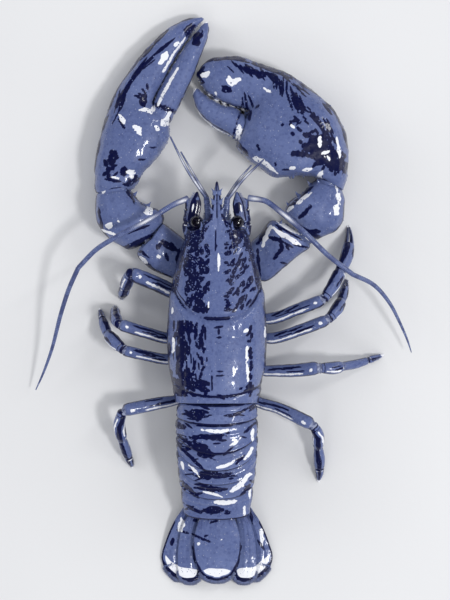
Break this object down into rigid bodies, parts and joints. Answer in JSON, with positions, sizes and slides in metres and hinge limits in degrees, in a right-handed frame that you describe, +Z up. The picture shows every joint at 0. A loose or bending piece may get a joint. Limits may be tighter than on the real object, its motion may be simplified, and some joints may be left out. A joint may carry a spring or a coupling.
{
  "type": "american lobster",
  "caption": "Still, life-size american lobster of the blue colour form, lying on its belly with both large claws forward and its tail fan spread.",
  "frame": {"origin": "on the floor under the breast, in the flat on which the belly rests", "axes": "+Z up, -Y towards the head and claws, +X towards the animal's left side"},
  "size_m": [0.2268, 0.3412, 0.055],
  "materials": {
    "body_shell": "glossy wet shell, mid blue mottled with navy, pale blue at the plate edges",
    "claw_shell": "glossy wet shell, mid blue with navy streaks and cream teeth",
    "leg_shell": "satin blue shell, paler at the joints",
    "feeler": "satin, finely ringed dark blue",
    "pale_shell": "satin, pale blue underside",
    "eye": "high gloss, near black"
  },
  "bodies": {
    "root": {"carapace": "body_shell", "antenna_base_left": "body_shell", "antenna_base_right": "body_shell", "abdomen_1": "body_shell", "abdomen_2": "body_shell", "abdomen_3": "body_shell", "abdomen_4": "body_shell", "abdomen_5": "body_shell", "abdomen_6": "body_shell", "telson": "body_shell", "uropod_inner_left": "body_shell", "uropod_inner_right": "body_shell", "uropod_outer_left": "body_shell", "uropod_outer_right": "body_shell", "cutter_propodus": "claw_shell", "cutter_dactyl": "claw_shell", "cutter_carpus": "claw_shell", "cutter_merus": "claw_shell", "crusher_propodus": "claw_shell", "crusher_dactyl": "claw_shell", "crusher_carpus": "claw_shell", "crusher_merus": "claw_shell", "leg_2_left_upper": "leg_shell", "leg_2_left_shank": "leg_shell", "leg_2_left_foot": "leg_shell", "leg_2_right_upper": "leg_shell", "leg_2_right_shank": "leg_shell", "leg_2_right_foot": "leg_shell", "leg_3_left_upper": "leg_shell", "leg_3_left_shank": "leg_shell", "leg_3_left_foot": "leg_shell", "leg_3_right_upper": "leg_shell", "leg_3_right_shank": "leg_shell", "leg_3_right_foot": "leg_shell", "leg_4_left_upper": "leg_shell", "leg_4_left_shank": "leg_shell", "leg_4_left_foot": "leg_shell", "leg_4_right_upper": "leg_shell", "leg_4_right_shank": "leg_shell", "leg_4_right_foot": "leg_shell", "leg_5_left_upper": "leg_shell", "leg_5_left_shank": "leg_shell", "leg_5_left_foot": "leg_shell", "leg_5_right_upper": "leg_shell", "leg_5_right_shank": "leg_shell", "leg_5_right_foot": "leg_shell", "antennule_left": "feeler", "antennule_right": "feeler", "antenna_left": "feeler", "antenna_left_end": "feeler", "antenna_right": "feeler", "antenna_right_end": "feeler", "breast": "pale_shell", "maxilliped_left": "pale_shell", "maxilliped_right": "pale_shell", "eye_left": "eye", "eye_right": "eye"}
  },
  "joints": []
}
